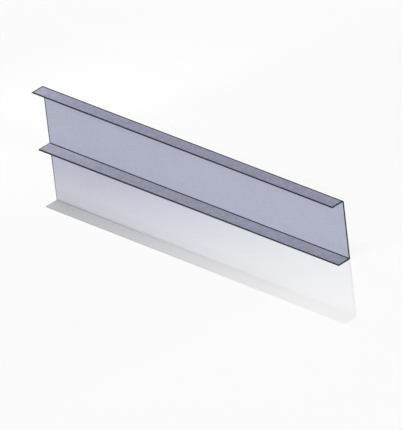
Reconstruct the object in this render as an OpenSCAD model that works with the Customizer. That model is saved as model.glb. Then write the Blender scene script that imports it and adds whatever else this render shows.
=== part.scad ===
// Cold-bent U-channel in zinc-coated steel sheet.
//
// One strip of flat sheet, sheared to size, with its two long sides folded square on a
// press brake: a wide web between two equal flanges, with no lips and no holes. The
// sheet keeps its thickness round both bends, so each bend has two concentric faces.
//
// X runs along the piece, Y across the flanges and Z up the web. The channel stands on
// its lower flange and opens towards -Y. The origin is on the floor, under the middle
// of the box that just holds the piece. Sizes are in millimetres.

/* [Channel] */
// Length of the piece
channel_length = 1250; // [300:10:3000]
// Height of the web, over both flanges
web_height = 200; // [60:5:400]
// Width of each flange, over the web
flange_width = 50; // [20:1:120]

/* [Sheet] */
// Thickness of the sheet
sheet_thickness = 2; // [1:0.1:4]
// Radius inside each bend
bend_radius = 1; // [0.5:0.1:8]
// Rounding left on the flanges' long cut edges after deburring
edge_radius = 0.3; // [0.1:0.05:0.4]

/* [Hidden] */
zinc_grey = [0.68, 0.69, 0.76];
// Radius outside each bend
outer_radius = bend_radius + sheet_thickness;
$fn = 96;

// The section is drawn flat, with x across the flanges and y up the web, about the
// middle of its box. Each folded side is drawn about the centre of its own bend.

// A quarter turn of the sheet, from the flange below the centre to the web beside it
module bend_section() {
    intersection() {
        difference() {
            circle(outer_radius);
            circle(bend_radius);
        }
        translate([0, -outer_radius])
            square(outer_radius);
    }
}

// The flange, running out from the bend to its cut edge, which has two rounded corners
module flange_section() {
    flat_width = flange_width - outer_radius - edge_radius;
    translate([-flat_width, -outer_radius]) {
        square([flat_width, sheet_thickness]);
        translate([-edge_radius, edge_radius])
            square([2 * edge_radius, sheet_thickness - 2 * edge_radius]);
        for (corner_height = [edge_radius, sheet_thickness - edge_radius])
            translate([0, corner_height])
                circle(edge_radius);
    }
}

// The web, running up from the bend past the middle, where it laps the other side's half
module half_web_section() {
    translate([bend_radius, 0])
        square([sheet_thickness, web_height / 2]);
}

module folded_side() {
    half_web_section();
    bend_section();
    flange_section();
}

module channel_section() {
    for (turned_over = [0, 1])
        mirror([0, turned_over])
            translate([flange_width / 2 - outer_radius, outer_radius - web_height / 2])
                folded_side();
}

module u_channel() {
    color(zinc_grey)
        translate([-channel_length / 2, 0, web_height / 2])
            rotate([90, 0, 90])
                linear_extrude(channel_length)
                    channel_section();
}

u_channel();
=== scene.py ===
"""A length of cold-bent U-channel in zinc-coated steel sheet, standing on its lower flange.

X runs along the channel, Y across its flanges and Z up its web, in metres. The open side
faces -Y. The channel is one strip of sheet with its two long sides folded square.
"""

import math

import bpy
from mathutils import Matrix, Vector


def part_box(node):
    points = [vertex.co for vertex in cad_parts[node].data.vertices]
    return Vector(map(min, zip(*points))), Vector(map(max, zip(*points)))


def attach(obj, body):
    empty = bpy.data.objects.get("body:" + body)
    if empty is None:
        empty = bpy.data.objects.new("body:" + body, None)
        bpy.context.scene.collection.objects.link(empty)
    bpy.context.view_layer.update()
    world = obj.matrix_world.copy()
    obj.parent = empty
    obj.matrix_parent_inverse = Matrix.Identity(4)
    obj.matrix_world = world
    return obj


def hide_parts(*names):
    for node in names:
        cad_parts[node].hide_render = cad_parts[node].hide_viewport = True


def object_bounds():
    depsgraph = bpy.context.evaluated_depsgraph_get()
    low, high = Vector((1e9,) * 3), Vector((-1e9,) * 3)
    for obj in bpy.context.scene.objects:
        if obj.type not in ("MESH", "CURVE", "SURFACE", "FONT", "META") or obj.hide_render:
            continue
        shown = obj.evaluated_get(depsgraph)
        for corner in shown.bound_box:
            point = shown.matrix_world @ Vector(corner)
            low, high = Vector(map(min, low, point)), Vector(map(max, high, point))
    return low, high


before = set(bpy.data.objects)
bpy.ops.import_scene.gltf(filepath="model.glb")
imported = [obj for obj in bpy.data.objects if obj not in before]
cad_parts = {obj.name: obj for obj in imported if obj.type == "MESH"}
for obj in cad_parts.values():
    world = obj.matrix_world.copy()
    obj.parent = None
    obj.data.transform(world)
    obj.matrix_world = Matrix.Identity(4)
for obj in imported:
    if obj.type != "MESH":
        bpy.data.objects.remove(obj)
cad_low, cad_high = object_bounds()
scene = bpy.context.scene
MM = 0.001


# ---------------------------------------------------------------------------------------
# Camera. It stands far off with a long lens, so that the channel's parallel edges stay
# parallel, above and to the right of the open side, and rolled a little to its left.
# ---------------------------------------------------------------------------------------
CAMERA_AZIMUTH = math.radians(46.98)
CAMERA_ELEVATION = math.radians(29.57)
CAMERA_ROLL = math.radians(6.70)
CAMERA_DISTANCE = 38.5
VIEW_HEIGHT = 1286.347 * MM
AIM_RIGHT = 34.47 * MM
AIM_UP = -119.57 * MM
SENSOR = 36

camera_back = Vector((
    math.sin(CAMERA_AZIMUTH) * math.cos(CAMERA_ELEVATION),
    -math.cos(CAMERA_AZIMUTH) * math.cos(CAMERA_ELEVATION),
    math.sin(CAMERA_ELEVATION),
))
level_right = Vector((0, 0, 1)).cross(camera_back).normalized()
level_up = camera_back.cross(level_right)
camera_up = math.cos(CAMERA_ROLL) * level_up + math.sin(CAMERA_ROLL) * level_right
camera_right = camera_up.cross(camera_back)
camera_turn = Matrix((camera_right, camera_up, camera_back)).transposed()

camera_data = bpy.data.cameras.new("camera")
camera_data.sensor_width = SENSOR
camera_data.lens = SENSOR * CAMERA_DISTANCE / VIEW_HEIGHT
camera_data.clip_start = 1
camera_data.clip_end = 200
camera = bpy.data.objects.new("camera", camera_data)
scene.collection.objects.link(camera)
aim = (cad_low + cad_high) / 2 + AIM_RIGHT * camera_right + AIM_UP * camera_up
camera_place = Matrix.Translation(aim + CAMERA_DISTANCE * camera_back)
camera.matrix_world = camera_place @ camera_turn.to_4x4()
scene.camera = camera


# ---------------------------------------------------------------------------------------
# Channel. One strip of 2 mm zinc-coated sheet, sheared to size, deburred along its cut
# edges and folded square twice on a press brake. The strip is made flat here, rounded at
# its cut edges and then folded, so its grain and its marks follow it round the bends.
# ---------------------------------------------------------------------------------------
SHEET = 2 * MM
BEND_INSIDE = 1 * MM
DEBURR = 0.3 * MM

channel_low, channel_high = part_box("u_channel")
channel_length, flange_width, web_height = channel_high - channel_low
channel_sizes = {
    "Length": channel_length,
    "Web Height": web_height,
    "Flange Width": flange_width,
    "Thickness": SHEET,
    "Bend Radius": BEND_INSIDE,
    "End Cell": 8 * MM,
    "Length Cells": 24,
    "Bend Cells": 10,
}


class Wire:
    """An output of a node tree. Sums on it add Math nodes, and make() adds any other node."""

    def __init__(self, tree, socket=None):
        self.tree = tree
        self.socket = socket

    def make(self, kind, settings=None, inputs=None, output=0):
        """Adds a node, with its settings first and then a value or a wire for each input."""
        node = self.tree.nodes.new(kind)
        for name, value in (settings or {}).items():
            setattr(node, name, value)
        for name, value in (inputs or {}).items():
            if isinstance(value, Wire):
                self.tree.links.new(value.socket, node.inputs[name])
            else:
                node.inputs[name].default_value = value
        return Wire(self.tree, node.outputs[output] if node.outputs else None)

    def out(self, name):
        """Another output of the same node."""
        return Wire(self.tree, self.socket.node.outputs[name])

    def math(self, operation, *values):
        inputs = dict(enumerate((self, *values)))
        return self.make("ShaderNodeMath", {"operation": operation}, inputs)

    def __add__(self, other):
        return self.math("ADD", other)

    __radd__ = __add__

    def __sub__(self, other):
        return self.math("SUBTRACT", other)

    def __rsub__(self, other):
        return self * -1 + other

    def __mul__(self, other):
        return self.math("MULTIPLY", other)

    __rmul__ = __mul__

    def __truediv__(self, other):
        return self.math("DIVIDE", other)

    def __abs__(self):
        return self.math("ABSOLUTE")

    def above(self, other):
        return self.math("GREATER_THAN", other)

    def least(self, other):
        return self.math("MINIMUM", other)

    def most(self, other):
        return self.math("MAXIMUM", other)

    def clamped(self, low=0.0, high=1.0):
        return self.most(low).least(high)

    def eased(self, start, end):
        """0 at start and 1 at end, with a soft step between them."""
        part = ((self - start) / (end - start)).clamped()
        return part * part * (3 - 2 * part)

    def choose(self, yes, no):
        """yes where this is 1, and no where it is 0."""
        return no + self * (yes - no)

    def xyz(self):
        split = self.make("ShaderNodeSeparateXYZ", inputs={0: self}, output="X")
        return split, split.out("Y"), split.out("Z")

    def vector(self, x, y, z):
        return self.make("ShaderNodeCombineXYZ", inputs={"X": x, "Y": y, "Z": z})


def folding_tree(name, slots=()):
    """A Geometry Nodes tree with the channel's sizes, and any materials, as its inputs."""
    tree = bpy.data.node_groups.new(name, "GeometryNodeTree")
    tree.interface.new_socket("Geometry", in_out="INPUT", socket_type="NodeSocketGeometry")
    tree.interface.new_socket("Geometry", in_out="OUTPUT", socket_type="NodeSocketGeometry")
    for size in channel_sizes:
        kind = "NodeSocketInt" if size.endswith("Cells") else "NodeSocketFloat"
        tree.interface.new_socket(size, in_out="INPUT", socket_type=kind)
    for slot in slots:
        tree.interface.new_socket(slot, in_out="INPUT", socket_type="NodeSocketMaterial")
    return tree, Wire(tree).make("NodeGroupInput")


def strip_parts(group):
    """Half the web's flat part, a bend's length and middle radius, and a flange's flat part."""
    outside = group.out("Bend Radius") + group.out("Thickness")
    middle = group.out("Bend Radius") + group.out("Thickness") / 2
    web_flat = group.out("Web Height") / 2 - outside
    return web_flat, middle * (math.pi / 2), middle, group.out("Flange Width") - outside


# The sheared strip: a flat box whose cells are narrow at its ends and where it will bend.
strip_tree, group = folding_tree("sheared_strip")
web_flat, bend_run, bend_middle, flange_flat = strip_parts(group)
length_cells, bend_cells = group.out("Length Cells"), group.out("Bend Cells")
across_cells = 2 * (bend_cells + 2)
block = group.make("GeometryNodeMeshCube", inputs={
    "Size": group.vector(length_cells, across_cells, group.out("Thickness")),
    "Vertices X": length_cells + 1,
    "Vertices Y": across_cells + 1,
    "Vertices Z": 2,
})
cell_x, cell_y, under = group.make("GeometryNodeInputPosition").xyz()
cells_out, cells_wide = abs(cell_x), abs(cell_y)
inner_cells = length_cells / 2 - 1
end_cell = group.out("End Cell")
body_half = group.out("Length") / 2 - end_cell
reach = (
    cells_out.least(inner_cells) / inner_cells * body_half
    + (cells_out - inner_cells).most(0) * end_cell
)
width = (
    cells_wide.least(1) * web_flat
    + (cells_wide - 1).most(0).least(bend_cells) / bend_cells * bend_run
    + (cells_wide - 1 - bend_cells).most(0) * flange_flat
)
strip = group.make("GeometryNodeSetPosition", inputs={
    "Geometry": block,
    "Position": group.vector(reach * cell_x.math("SIGN"), width * cell_y.math("SIGN"), under),
})
group.make("NodeGroupOutput", inputs={"Geometry": strip})

# The press brake: it folds the strip round the middle of its thickness, and the face that
# was underneath becomes the outer one. Each point keeps its place on the flat strip.
brake_tree, group = folding_tree("press_brake", ("Zinc", "Cut Steel"))
web_flat, bend_run, bend_middle, flange_flat = strip_parts(group)
strip_half = web_flat + bend_run + flange_flat
along, across, under = group.make("GeometryNodeInputPosition").xyz()
outward = under * -1
placed = group.make(
    "GeometryNodeStoreNamedAttribute",
    {"data_type": "FLOAT_VECTOR", "domain": "POINT"},
    {"Geometry": group, "Name": "flat_sheet", "Value": group.vector(along, across, outward)},
)

# The flat layout for its maps has the outer face below the inner one, then the two long
# cut edges, and the two cut ends upright at the right. The last few millimetres of the
# length have more room than the rest, because the darkened ends are narrow.
LAYOUT_EDGE = 0.006
LAYOUT_LENGTH = 0.958
LAYOUT_END_SHARE = 0.03
LAYOUT_FACE = 0.455
LAYOUT_FACE_GAP = 0.010
LAYOUT_SIDE_START, LAYOUT_SIDE_STEP, LAYOUT_SIDE_WIDTH = 0.945, 0.025, 0.010
LAYOUT_END_START, LAYOUT_END_STEP, LAYOUT_END_WIDTH = 0.974, 0.013, 0.008
LAYOUT_END_LENGTH = 0.92
MOSTLY_LEVEL = 0.6

faces_x, faces_y, faces_down = group.make(
    "GeometryNodeFieldOnDomain",
    {"data_type": "FLOAT_VECTOR", "domain": "FACE"},
    {0: group.make("GeometryNodeInputNormal")},
).xyz()
on_face = abs(faces_down).above(MOSTLY_LEVEL)
on_end = abs(faces_x).above(abs(faces_y))
end_cell = group.out("End Cell")
body_half = group.out("Length") / 2 - end_cell
reach = (
    abs(along).least(body_half) / body_half * (0.5 - LAYOUT_END_SHARE)
    + (abs(along) - body_half).most(0) / end_cell * LAYOUT_END_SHARE
)
share_along = reach * along.math("SIGN") + 0.5
share_across = across / strip_half / 2 + 0.5
share_through = outward / group.out("Thickness") + 0.5
face_start = faces_down.above(0) * (LAYOUT_FACE + LAYOUT_FACE_GAP) + LAYOUT_EDGE
side_start = across.above(0) * LAYOUT_SIDE_STEP + LAYOUT_SIDE_START
end_start = along.above(0) * LAYOUT_END_STEP + LAYOUT_END_START
u_long = share_along * LAYOUT_LENGTH + LAYOUT_EDGE
u_end = share_through * LAYOUT_END_WIDTH + end_start
v_face = share_across * LAYOUT_FACE + face_start
v_side = share_through * LAYOUT_SIDE_WIDTH + side_start
v_end = share_across * LAYOUT_END_LENGTH + LAYOUT_EDGE
mapped = group.make(
    "GeometryNodeStoreNamedAttribute",
    {"data_type": "FLOAT2", "domain": "CORNER"},
    {
        "Geometry": placed,
        "Name": "OFBake",
        "Value": group.vector(
            on_face.choose(u_long, on_end.choose(u_end, u_long)),
            on_face.choose(v_face, on_end.choose(v_end, v_side)),
            0,
        ),
    },
)

marked = group.make(
    "GeometryNodeStoreNamedAttribute",
    {"data_type": "BOOLEAN", "domain": "FACE"},
    {"Geometry": mapped, "Name": "cut_edge", "Value": (1 - on_face).above(0.5)},
)

past_web = abs(across) - web_flat
turn = past_web.most(0).least(bend_run) / bend_middle
radius = bend_middle + outward
bend_y = group.out("Flange Width") / 2 - group.out("Bend Radius") - group.out("Thickness")
folded_y = bend_y + radius * turn.math("COSINE") - (past_web - bend_run).most(0)
folded_z = web_flat + radius * turn.math("SINE") + past_web.least(0)
folded = group.make("GeometryNodeSetPosition", inputs={
    "Geometry": marked,
    "Position": group.vector(
        along,
        folded_y,
        folded_z * across.math("SIGN") + group.out("Web Height") / 2,
    ),
})
smooth = group.make("GeometryNodeSetShadeSmooth", inputs={"Geometry": folded})
real = group.make("GeometryNodeRealizeInstances", inputs={"Geometry": smooth})
coated = group.make("GeometryNodeSetMaterial", inputs={
    "Geometry": real,
    "Material": group.out("Zinc"),
})
is_cut = group.make(
    "GeometryNodeInputNamedAttribute", {"data_type": "BOOLEAN"}, {"Name": "cut_edge"}
)
finished = group.make("GeometryNodeSetMaterial", inputs={
    "Geometry": coated,
    "Selection": is_cut,
    "Material": group.out("Cut Steel"),
})
group.make("NodeGroupOutput", inputs={"Geometry": finished})

# The zinc coating: satin and blue-grey, with a faint spangle, the long grain of rolling,
# a faint line where each die shoulder rubbed the outer face, and a dark, scuffed margin
# where the shears and the punch bruised it along cut edges and bends. The grain is stronger
# on the flanges. The inside faces are painted with less blue than the outside, and the
# flanges with least, as a painted offset for the blue light these faces bounce on each
# other. The web's inside also has painted shade that darkens it towards the left end.
# ZINC_WEB and ZINC_FLANGE are painted colour: less blue than ZINC_OUTSIDE, to offset bounced
# blue light.
ZINC_OUTSIDE = (0.416, 0.430, 0.560, 1)
ZINC_WEB = (0.416, 0.430, 0.526, 1)
ZINC_FLANGE = (0.417, 0.428, 0.505, 1)
# Painted shade on the web's inside at its left end.
PAINTED_SHADE_LEFT = 0.12
BRUISED = (0.004, 0.005, 0.019, 1)
SCUFFED = (0.034, 0.037, 0.056, 1)
ZINC_GLOSS = 0.25
ZINC_METALLIC = 0.15
ZINC_ROUGHNESS = 0.50

# How fine each pattern is, in cells to a metre along the strip and across it, and how
# much it changes the tone, the roughness and the surface.
GRAIN_ALONG, GRAIN_ACROSS = 1.6, 380
CLOUDS_ALONG, CLOUDS_ACROSS = 7, 16
SPANGLE_ALONG, SPANGLE_ACROSS = 120, 130
SCUFFS_ALONG, SCUFFS_ACROSS = 260, 900
SCUFFS_START, SCUFFS_END = 0.52, 0.74
FACES_APART = 5
TONE_SPREAD_WEB, TONE_SPREAD_FLANGE = 0.154, 0.21
GRAIN_TONE_WEB, GRAIN_TONE_FLANGE = 0.4, 1.9
SPANGLE_TONE_WEB, SPANGLE_TONE_FLANGE = 0.4, 1.1
CLOUDS_TONE = 0.4
RUBBED_TONE = 0.45
GRAIN_ROUGHER = 0.10
SPANGLE_ROUGHER = 0.05
RUBBED_SMOOTHER = 0.08
MARK_ROUGHER = 0.14
SCUFF_SMOOTHER = 0.10
GRAIN_HEIGHT = 0.012 * MM
CLOUDS_HEIGHT = 0.10 * MM

# The marks: how far the bruised margins reach, how much wider those inside the flanges get
# with each metre to the right, and how uneven their borders are.
CUT_MARGIN_OUTSIDE = 4.8 * MM
CUT_MARGIN_INSIDE = 3.9 * MM
CUT_MARGIN_WIDENS = 1.2 * MM
BEND_MARGIN_FLANGE = 3.3 * MM
BEND_MARGIN_WEB = 1.2 * MM
MARK_SOFT = 1.0 * MM
DIE_SHOULDER = 9 * MM
DIE_RUB = 1.4 * MM
WOBBLES = ((90, 0.5 * MM), (650, 0.9 * MM))
BEND_WOBBLE = 0.5


def shader_tree(name):
    """A new material with an empty tree."""
    material = bpy.data.materials.new(name)
    material.use_nodes = True
    material.node_tree.nodes.clear()
    return material, Wire(material.node_tree)


def noise(tree, vector, detail=2.0):
    inputs = {"Vector": vector, "Scale": 1, "Detail": detail}
    return tree.make("ShaderNodeTexNoise", inputs=inputs)


def mixed(tree, share, first, second):
    """A mix of two colours."""
    return tree.make(
        "ShaderNodeMix", {"data_type": "RGBA"}, {0: share, 6: first, 7: second}, output=2
    )


zinc, tree = shader_tree("zinc_coating")
sheet = tree.make("ShaderNodeAttribute", {"attribute_name": "flat_sheet"}, output="Vector")
x, across, outward = sheet.xyz()
is_outer = outward.above(0)
bend_outside = BEND_INSIDE + SHEET
bend_length = (BEND_INSIDE + SHEET / 2) * math.pi / 2
half_strip = web_height / 2 + flange_width - 2 * bend_outside + bend_length
bend_centre = web_height / 2 - bend_outside + bend_length / 2

face = is_outer * FACES_APART
grain = noise(tree, tree.vector(x * GRAIN_ALONG, across * GRAIN_ACROSS, face), 3)
clouds = noise(tree, tree.vector(x * CLOUDS_ALONG, across * CLOUDS_ACROSS, face + 9), 2)
spangle_place = tree.vector(x * SPANGLE_ALONG, across * SPANGLE_ACROSS, face + 3)
spangle = tree.make(
    "ShaderNodeTexVoronoi", inputs={"Vector": spangle_place, "Scale": 1}, output="Color"
).xyz()[0]
from_bend = abs(across) - bend_centre
on_flange = from_bend.above(0)
rubbed = (1 - abs(abs(from_bend) - DIE_SHOULDER).eased(0, DIE_RUB)) * is_outer
tone = (
    0.5
    + (grain - 0.5) * on_flange.choose(GRAIN_TONE_FLANGE, GRAIN_TONE_WEB)
    + (clouds - 0.5) * CLOUDS_TONE
    + (spangle - 0.5) * on_flange.choose(SPANGLE_TONE_FLANGE, SPANGLE_TONE_WEB)
    + rubbed * grain * RUBBED_TONE
).clamped()

wobble = 0
for fineness, size in WOBBLES:
    place = tree.vector(x * fineness, across * fineness, outward * fineness)
    wobble = (noise(tree, place) - 0.5) * size + wobble
from_cut = (channel_length / 2 - abs(x)).least(half_strip - abs(across)) + wobble
inside_margin = on_flange * x * CUT_MARGIN_WIDENS + CUT_MARGIN_INSIDE
past_cut = from_cut - is_outer.choose(CUT_MARGIN_OUTSIDE, inside_margin)
cut_mark = 1 - past_cut.eased(-MARK_SOFT / 2, MARK_SOFT / 2)
flange_side = is_outer.choose(BEND_MARGIN_FLANGE, BEND_MARGIN_WEB) + bend_length / 2
web_side = BEND_MARGIN_WEB + bend_length / 2
past_bend = (from_bend - flange_side).most(from_bend * -1 - web_side) + wobble * BEND_WOBBLE
bend_mark = 1 - past_bend.eased(-MARK_SOFT / 2, MARK_SOFT / 2)
mark = cut_mark.most(bend_mark)
scuffs_place = tree.vector(x * SCUFFS_ALONG, across * SCUFFS_ACROSS, outward * SCUFFS_ACROSS)
scuffs = noise(tree, scuffs_place, 4).eased(SCUFFS_START, SCUFFS_END)

# Painted shade: the web's inside is darkened towards its left end, against the end lamp's light
# there.
painted_left_shade = x.least(0) * PAINTED_SHADE_LEFT * (1 - on_flange) * (1 - is_outer)
spread = on_flange.choose(TONE_SPREAD_FLANGE, TONE_SPREAD_WEB)
# Painted offset for bounced light: the inside web and flanges take their less blue colours.
inside = mixed(tree, on_flange, ZINC_WEB, ZINC_FLANGE)
zinc_colour = tree.make(
    "ShaderNodeVectorMath",
    {"operation": "SCALE"},
    {
        "Vector": mixed(tree, is_outer, inside, ZINC_OUTSIDE),
        "Scale": (tone - 0.5) * spread + painted_left_shade + 1,
    },
)
margin_colour = mixed(tree, scuffs, BRUISED, SCUFFED)
shader = tree.make("ShaderNodeBsdfPrincipled", inputs={
    "Base Color": mixed(tree, mark, zinc_colour, margin_colour),
    "Metallic": (1 - mark) * ZINC_METALLIC,
    "Specular IOR Level": ZINC_GLOSS,
    "Roughness": (
        ZINC_ROUGHNESS
        + (grain - 0.5) * GRAIN_ROUGHER
        + (spangle - 0.5) * SPANGLE_ROUGHER
        - rubbed * RUBBED_SMOOTHER
        + mark * (MARK_ROUGHER - scuffs * SCUFF_SMOOTHER)
    ),
    "Normal": tree.make("ShaderNodeBump", inputs={
        "Strength": 1,
        "Distance": 1,
        "Height": grain * GRAIN_HEIGHT + clouds * CLOUDS_HEIGHT,
    }),
})
tree.make("ShaderNodeOutputMaterial", inputs={"Surface": shader})

# The cut edges: bare steel, dark all over, smoother where the blade burnished it and
# torn and rough where it broke away.
EDGE_BURNISHED = (0.026, 0.027, 0.042, 1)
EDGE_TORN = (0.010, 0.010, 0.022, 1)
TEAR_FINENESS = 300
TEAR_SIZE = 0.5 * MM
TORN_START, TORN_END = 0.1 * MM, 0.5 * MM
BREAK_FINENESS = 900
BREAK_HEIGHT = 0.03 * MM
EDGE_ROUGHNESS = 0.40
EDGE_GLOSS = 0.2
EDGE_METALLIC = 0.3
TORN_ROUGHER = 0.25

cut_steel, tree = shader_tree("sheared_steel")
sheet = tree.make("ShaderNodeAttribute", {"attribute_name": "flat_sheet"}, output="Vector")
x, across, outward = sheet.xyz()
tear = noise(tree, tree.vector(x * TEAR_FINENESS, across * TEAR_FINENESS, 0)) - 0.5
torn = (outward + tear * TEAR_SIZE).eased(TORN_START, TORN_END)
place = tree.vector(x * BREAK_FINENESS, across * BREAK_FINENESS, outward * BREAK_FINENESS)
rough_break = noise(tree, place, 3)
shader = tree.make("ShaderNodeBsdfPrincipled", inputs={
    "Base Color": mixed(tree, torn, EDGE_BURNISHED, EDGE_TORN),
    "Metallic": EDGE_METALLIC,
    "Specular IOR Level": EDGE_GLOSS,
    "Roughness": torn * TORN_ROUGHER + EDGE_ROUGHNESS,
    "Normal": tree.make("ShaderNodeBump", inputs={
        "Strength": 1,
        "Distance": 1,
        "Height": rough_break * torn * BREAK_HEIGHT,
    }),
})
tree.make("ShaderNodeOutputMaterial", inputs={"Surface": shader})


def add_nodes_modifier(piece, tree, values):
    """Gives a piece the tree as a modifier, with each input that values names."""
    modifier = piece.modifiers.new(tree.name, "NODES")
    modifier.node_group = tree
    for item in tree.interface.items_tree:
        if item.item_type == "SOCKET" and item.in_out == "INPUT" and item.name in values:
            modifier[item.identifier] = values[item.name]


pressing = bpy.data.objects.new("strip_in_press", bpy.data.meshes.new("strip_in_press"))
scene.collection.objects.link(pressing)
add_nodes_modifier(pressing, strip_tree, channel_sizes)
deburr = pressing.modifiers.new("deburr", "BEVEL")
deburr.limit_method = "ANGLE"
deburr.angle_limit = math.radians(60)
deburr.width = DEBURR
deburr.segments = 3
brake_values = {**channel_sizes, "Zinc": zinc, "Cut Steel": cut_steel}
add_nodes_modifier(pressing, brake_tree, brake_values)
pressing.modifiers.new("flat_faces", "WEIGHTED_NORMAL").weight = 100
folded_mesh = bpy.data.meshes.new_from_object(
    pressing.evaluated_get(bpy.context.evaluated_depsgraph_get()),
    preserve_all_data_layers=True,
    depsgraph=bpy.context.evaluated_depsgraph_get(),
)
bpy.data.objects.remove(pressing)
channel = bpy.data.objects.new("folded_channel", folded_mesh)
scene.collection.objects.link(channel)
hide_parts("u_channel")
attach(channel, "root")


# ---------------------------------------------------------------------------------------
# Floor. A plain near-white floor, polished enough near the channel to mirror it, most of
# all at its left end. Its own colour under the lamps is topped up to the backdrop's white.
# ---------------------------------------------------------------------------------------
FLOOR_HALF = 30
FLOOR_COLOUR = (0.35, 0.35, 0.35, 1)
FLOOR_LIT = 0.221
BACKDROP = 0.971
MIRROR_LEFT, MIRROR_RIGHT = 1.0, 0.18
MIRROR_START, MIRROR_END = -0.55, 0.90
MIRROR_FADE = 1.5

floor_mesh = bpy.data.meshes.new("floor")
floor_mesh.from_pydata(
    [(FLOOR_HALF * a, FLOOR_HALF * b, 0) for a, b in ((-1, -1), (1, -1), (1, 1), (-1, 1))],
    [],
    [(0, 1, 2, 3)],
)
floor = bpy.data.objects.new("floor", floor_mesh)
scene.collection.objects.link(floor)
floor_material, tree = shader_tree("polished_floor")
x, y = tree.make("ShaderNodeTexCoord", output="Object").xyz()[:2]
mirror = x.eased(MIRROR_START, MIRROR_END).choose(MIRROR_RIGHT, MIRROR_LEFT)
mirror = mirror * (1 - abs(y) * MIRROR_FADE).clamped()
direct = tree.make("ShaderNodeLightPath", output="Is Camera Ray")
seen = direct.most(direct.out("Is Glossy Ray"))
matt = tree.make("ShaderNodeAddShader", inputs={
    0: tree.make("ShaderNodeBsdfDiffuse", inputs={"Color": FLOOR_COLOUR}),
    1: tree.make("ShaderNodeEmission", inputs={"Strength": seen * (BACKDROP - FLOOR_LIT)}),
})
polish = tree.make("ShaderNodeBsdfGlossy", inputs={"Color": (1, 1, 1, 1), "Roughness": 0})
surface = tree.make("ShaderNodeMixShader", inputs={0: mirror * direct, 1: matt, 2: polish})
tree.make("ShaderNodeOutputMaterial", inputs={"Surface": surface})
floor_mesh.materials.append(floor_material)


# ---------------------------------------------------------------------------------------
# Light. A soft key from the camera's side and a weaker one overhead light the flanges, a
# low one in front lights the web evenly, and another lights its back. A small lamp past the
# left end brightens the flanges there, in a dim, even room that is white where it shows.
# ---------------------------------------------------------------------------------------
ROOM_LEVEL = 0.10
CEILING_LEVEL = 0.50
CEILING_START, CEILING_END = 0.1, 0.5
END_LAMP_PLACE = Vector((-0.90, 0.026, 0.36))
END_LAMP_AIM = Vector((-0.35, 0.0, 0.05))
END_LAMP_WIDTH, END_LAMP_LENGTH = 0.02, 0.16
END_LAMP_POWER = 0.86


def add_sun(name, azimuth, elevation, strength, spread, shine=True):
    """A far, soft lamp in the direction that azimuth and elevation give, in degrees."""
    lamp = bpy.data.lights.new(name, "SUN")
    lamp.energy = strength
    lamp.angle = math.radians(spread)
    holder = bpy.data.objects.new(name, lamp)
    a, e = math.radians(azimuth), math.radians(elevation)
    towards = Vector((math.sin(a) * math.cos(e), -math.cos(a) * math.cos(e), math.sin(e)))
    holder.rotation_euler = towards.to_track_quat("Z", "Y").to_euler()
    holder.visible_glossy = shine
    scene.collection.objects.link(holder)


add_sun("key", azimuth=48, elevation=29.5, strength=1.20, spread=14, shine=False)
add_sun("overhead", azimuth=0, elevation=70, strength=0.66, spread=20, shine=False)
add_sun("front", azimuth=-20, elevation=6, strength=2.03, spread=14)
add_sun("back", azimuth=165, elevation=6, strength=2.2, spread=20)

end_lamp = bpy.data.lights.new("end_lamp", "AREA")
end_lamp.shape = "RECTANGLE"
end_lamp.size = END_LAMP_WIDTH
end_lamp.size_y = END_LAMP_LENGTH
end_lamp.energy = END_LAMP_POWER
end_holder = bpy.data.objects.new("end_lamp", end_lamp)
end_turn = (END_LAMP_PLACE - END_LAMP_AIM).to_track_quat("Z", "Y")
end_holder.matrix_world = Matrix.Translation(END_LAMP_PLACE) @ end_turn.to_matrix().to_4x4()
end_holder.visible_glossy = False
end_holder.visible_camera = False
scene.collection.objects.link(end_holder)

world = bpy.data.worlds.new("room")
world.use_nodes = True
world.node_tree.nodes.clear()
scene.world = world
tree = Wire(world.node_tree)
path = tree.make("ShaderNodeLightPath", output="Is Camera Ray")
seen = path.most(path.out("Is Singular Ray"))
height = tree.make("ShaderNodeTexCoord", output="Generated").xyz()[2]
mirrored = height.eased(CEILING_START, CEILING_END).choose(CEILING_LEVEL, BACKDROP)
room = tree.make("ShaderNodeBackground", inputs={
    "Color": (1, 1, 1, 1),
    "Strength": seen.choose(BACKDROP, path.out("Is Glossy Ray").choose(mirrored, ROOM_LEVEL)),
})
tree.make("ShaderNodeOutputWorld", inputs={"Surface": room})

scene.view_settings.view_transform = "Standard"
